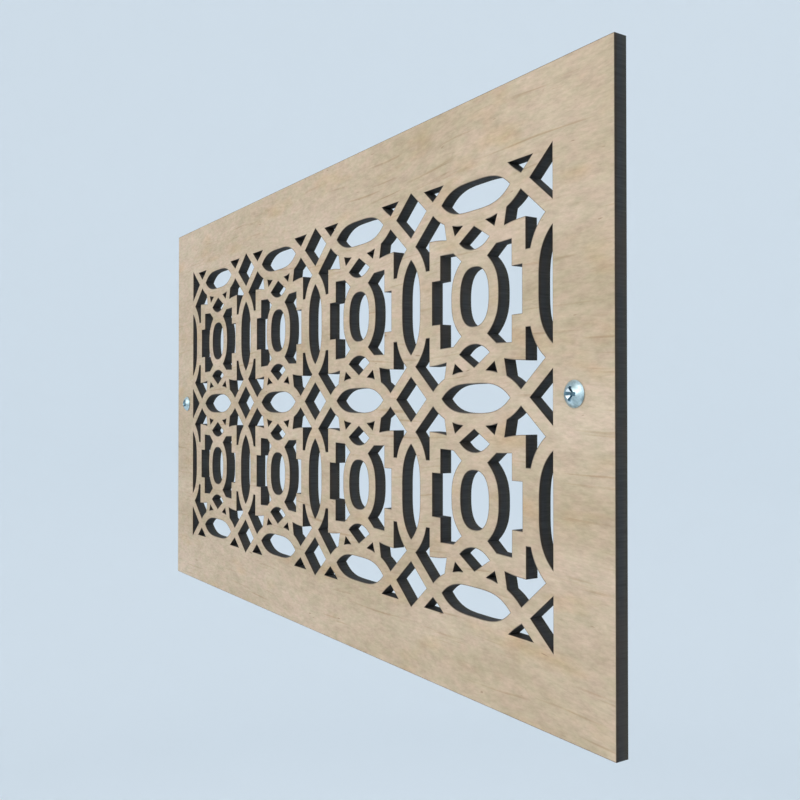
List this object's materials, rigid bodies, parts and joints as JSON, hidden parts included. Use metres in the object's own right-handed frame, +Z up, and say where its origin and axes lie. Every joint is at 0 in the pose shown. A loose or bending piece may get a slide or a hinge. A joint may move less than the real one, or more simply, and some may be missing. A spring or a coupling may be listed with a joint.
{
  "type": "wall register vent cover",
  "caption": "Flat wooden cover for a wall register, fretted with a lattice of ovals, lenses and diamonds and held by a pan-head screw at each end.",
  "frame": {"origin": "centre of the board's back face, on the wall's surface and on the centre line of the duct it covers", "axes": "+X to the right as the cover is seen, +Z up, +Y into the wall, so the fretted face looks along -Y"},
  "size_m": [0.3556, 0.0179, 0.2032],
  "materials": {
    "board": "bare pale veneer with fine lengthwise grain, every cut edge charred near black",
    "screws": "bright bluish zinc plate"
  },
  "bodies": {
    "root": {"panel": "board", "screw_left": "screws", "screw_right": "screws"}
  },
  "joints": []
}
